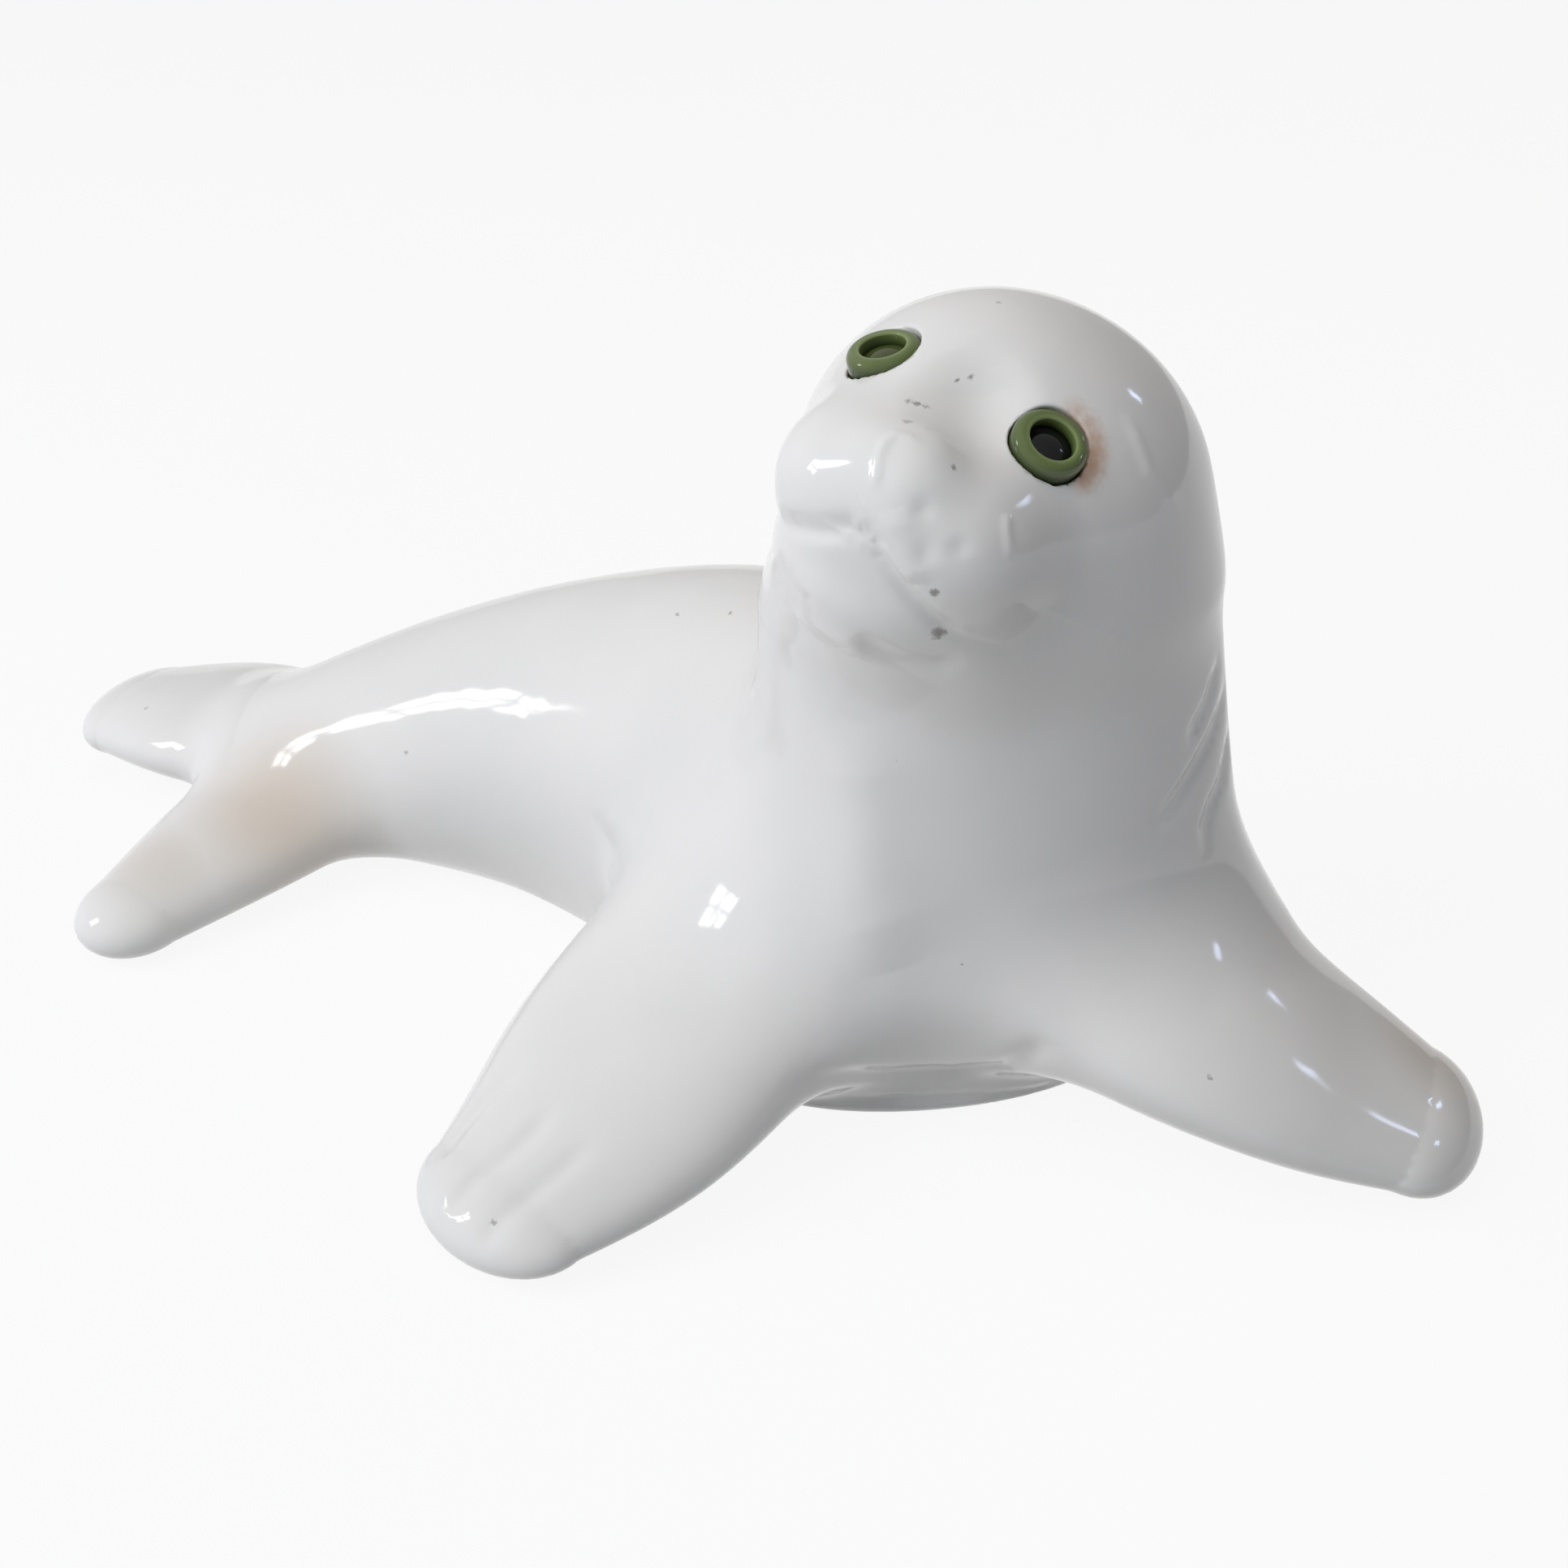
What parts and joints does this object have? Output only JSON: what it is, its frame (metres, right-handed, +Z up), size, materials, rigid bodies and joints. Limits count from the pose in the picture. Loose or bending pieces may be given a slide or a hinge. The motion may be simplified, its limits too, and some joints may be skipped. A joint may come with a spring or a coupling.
{
  "type": "seal figurine",
  "caption": "Glazed white ceramic figurine of a lying seal pup with raised, turned head, spread flippers and set-in glass eyes.",
  "frame": {"origin": "on the flat base, under the middle of the chest", "axes": "+Z up, the chest faces -Y, +X to the seal's left"},
  "size_m": [0.3108, 0.2523, 0.1694],
  "materials": {
    "glaze": "high-gloss white glaze with a faint warm tint where it pools",
    "eye_green": "glossy olive-green glass",
    "eye_black": "glossy black glass"
  },
  "bodies": {
    "root": {"seal_body": "glaze", "eye_right_iris": "eye_green", "eye_right_pupil": "eye_black", "eye_left_iris": "eye_green", "eye_left_pupil": "eye_black"}
  },
  "joints": []
}
